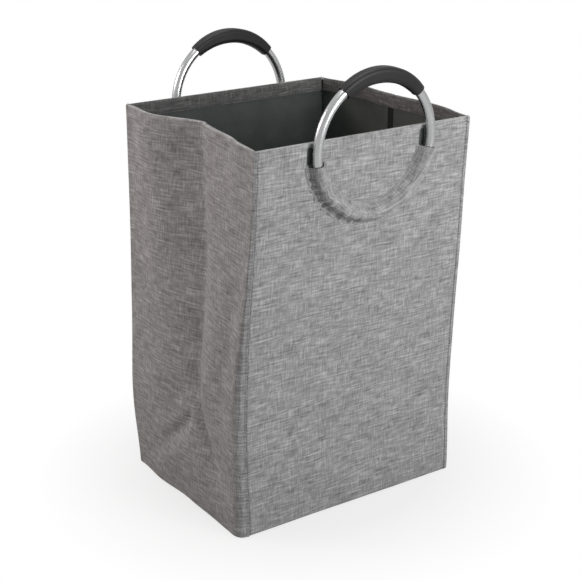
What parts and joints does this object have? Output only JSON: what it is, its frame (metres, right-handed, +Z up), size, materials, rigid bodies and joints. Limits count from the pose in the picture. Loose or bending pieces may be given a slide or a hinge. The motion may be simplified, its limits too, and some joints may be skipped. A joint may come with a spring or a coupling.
{
  "type": "laundry hamper",
  "caption": "Fold-flat open-topped laundry hamper of grey heathered cloth with dark lining, creased side gussets and aluminium ring handles with moulded grips.",
  "frame": {"origin": "middle of the footprint on the floor", "axes": "+Z up, the front wall faces -Y, +X along its width"},
  "size_m": [0.3332, 0.3444, 0.5803],
  "materials": {
    "grey_cloth": "heathered linen-look polyester, matt",
    "lining": "dark satin lining",
    "board": "plain stiffener board",
    "aluminium_tube": "satin anodised",
    "plug": "moulded",
    "grip": "charcoal, matt moulded"
  },
  "bodies": {
    "front_wall": {"front_cloth": "grey_cloth", "front_board": "board", "front_lining": "lining", "front_hem": "grey_cloth", "front_handle_sleeve": "grey_cloth"},
    "front_handle": {"front_ring_tube": "aluminium_tube", "front_ring_plug": "plug", "front_grip_outer_shell": "grip", "front_grip_inner_shell": "grip"},
    "front_leaf": {"front_base_cloth": "grey_cloth", "front_base_board": "board", "front_base_lining": "lining"},
    "back_wall": {"back_cloth": "grey_cloth", "back_board": "board", "back_lining": "lining", "back_hem": "grey_cloth", "back_handle_sleeve": "grey_cloth"},
    "back_handle": {"back_ring_tube": "aluminium_tube", "back_ring_plug": "plug", "back_grip_outer_shell": "grip", "back_grip_inner_shell": "grip"},
    "back_leaf": {"back_base_cloth": "grey_cloth", "back_base_board": "board", "back_base_lining": "lining"},
    "left_front_panel": {"left_front_gusset_cloth": "grey_cloth", "left_front_gusset_board": "board", "left_front_gusset_lining": "lining", "left_front_gusset_hem": "grey_cloth"},
    "left_front_foot": {"left_front_gore": "grey_cloth"},
    "left_back_panel": {"left_back_gusset_cloth": "grey_cloth", "left_back_gusset_board": "board", "left_back_gusset_lining": "lining", "left_back_gusset_hem": "grey_cloth"},
    "left_back_foot": {"left_back_gore": "grey_cloth"},
    "right_front_panel": {"right_front_gusset_cloth": "grey_cloth", "right_front_gusset_board": "board", "right_front_gusset_lining": "lining", "right_front_gusset_hem": "grey_cloth"},
    "right_front_foot": {"right_front_gore": "grey_cloth"},
    "right_back_panel": {"right_back_gusset_cloth": "grey_cloth", "right_back_gusset_board": "board", "right_back_gusset_lining": "lining", "right_back_gusset_hem": "grey_cloth"},
    "right_back_foot": {"right_back_gore": "grey_cloth"}
  },
  "joints": [
    {"name": "fold_flat", "type": "hinge", "parent": "front_wall", "child": "front_leaf", "pos_m": [0, -0.1256, 0.0038], "axis": [1, 0, 0], "range_deg": [0, 76]},
    {"name": "base_middle_fold", "type": "hinge", "parent": "front_leaf", "child": "back_leaf", "pos_m": [0, 0, 0], "axis": [-1, 0, 0], "range_deg": [0, 160]},
    {"name": "back_wall_fold", "type": "hinge", "parent": "back_leaf", "child": "back_wall", "pos_m": [0, 0.1256, 0.0038], "axis": [1, 0, 0], "range_deg": [0, 83.5]},
    {"name": "left_front_fold", "type": "hinge", "parent": "front_wall", "child": "left_front_panel", "pos_m": [-0.15674, -0.1262, 0], "axis": [0, 0.044, -0.999], "range_deg": [0, 74.77]},
    {"name": "left_crease_fold", "type": "hinge", "parent": "left_front_panel", "child": "left_back_panel", "pos_m": [-0.15001, 0, 0], "axis": [0.004, 0, 1], "range_deg": [0, 149.54]},
    {"name": "right_front_fold", "type": "hinge", "parent": "front_wall", "child": "right_front_panel", "pos_m": [0.15674, -0.1262, 0], "axis": [0, -0.044, 0.999], "range_deg": [0, 74.77]},
    {"name": "right_crease_fold", "type": "hinge", "parent": "right_front_panel", "child": "right_back_panel", "pos_m": [0.15001, 0, 0], "axis": [0.004, 0, -1], "range_deg": [0, 149.54]},
    {"name": "left_front_gore_fold", "type": "hinge", "parent": "front_leaf", "child": "left_front_foot", "pos_m": [-0.1606, 0, 0.004], "axis": [0, 1, 0], "range_deg": [0, 86.84], "deforming": ["left_front_gore"]},
    {"name": "left_back_gore_fold", "type": "hinge", "parent": "back_leaf", "child": "left_back_foot", "pos_m": [-0.1606, 0, 0.004], "axis": [0, 1, 0], "range_deg": [0, 86.84], "deforming": ["left_back_gore"]},
    {"name": "right_front_gore_fold", "type": "hinge", "parent": "front_leaf", "child": "right_front_foot", "pos_m": [0.1606, 0, 0.004], "axis": [0, -1, 0], "range_deg": [0, 86.84], "deforming": ["right_front_gore"]},
    {"name": "right_back_gore_fold", "type": "hinge", "parent": "back_leaf", "child": "right_back_foot", "pos_m": [0.1606, 0, 0.004], "axis": [0, -1, 0], "range_deg": [0, 86.84], "deforming": ["right_back_gore"]},
    {"name": "front_ring_turn", "type": "hinge", "parent": "front_wall", "child": "front_handle", "pos_m": [0, -0.15898, 0.48572], "axis": [0, -0.999, -0.044], "range_deg": [-30, 40]},
    {"name": "back_ring_turn", "type": "hinge", "parent": "back_wall", "child": "back_handle", "pos_m": [0, 0.15898, 0.48572], "axis": [0, 0.999, -0.044], "range_deg": [-40, 30]}
  ],
  "couplings": [
    {"joint": "base_middle_fold", "follows": "fold_flat", "ratio": 2},
    {"joint": "back_wall_fold", "follows": "fold_flat", "ratio": 1.046},
    {"joint": "left_front_fold", "follows": "fold_flat", "ratio": 0.93121},
    {"joint": "left_crease_fold", "follows": "fold_flat", "ratio": 1.8624},
    {"joint": "right_front_fold", "follows": "fold_flat", "ratio": 0.93121},
    {"joint": "right_crease_fold", "follows": "fold_flat", "ratio": 1.8624},
    {"joint": "left_front_gore_fold", "follows": "fold_flat", "ratio": 1.09},
    {"joint": "left_back_gore_fold", "follows": "fold_flat", "ratio": 1.09},
    {"joint": "right_front_gore_fold", "follows": "fold_flat", "ratio": 1.09},
    {"joint": "right_back_gore_fold", "follows": "fold_flat", "ratio": 1.09}
  ]
}
